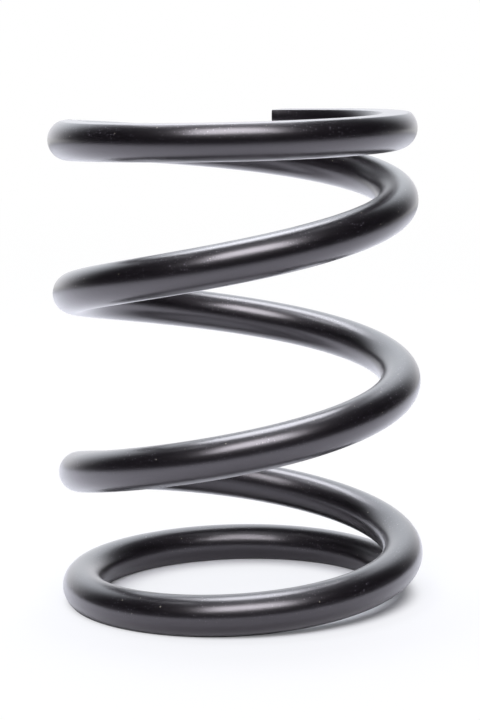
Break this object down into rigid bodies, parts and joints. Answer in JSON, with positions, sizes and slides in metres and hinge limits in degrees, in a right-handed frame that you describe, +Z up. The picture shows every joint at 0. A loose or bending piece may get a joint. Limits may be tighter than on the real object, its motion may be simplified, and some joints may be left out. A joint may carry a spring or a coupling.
{
  "type": "helical compression spring",
  "caption": "Helical compression spring of round wire with closed ends ground flat, standing upright, coated satin black.",
  "frame": {"origin": "on the coil axis, in the plane of the lower ground face", "axes": "+Z up the coil axis; +X and +Y across the coil, with the lower wire tip 14 degrees round from +X"},
  "size_m": [0.14, 0.14, 0.1855],
  "materials": {
    "black_powder_coat": "satin black powder coat on spring steel"
  },
  "bodies": {
    "root": {"coil_spring": "black_powder_coat"}
  },
  "joints": []
}
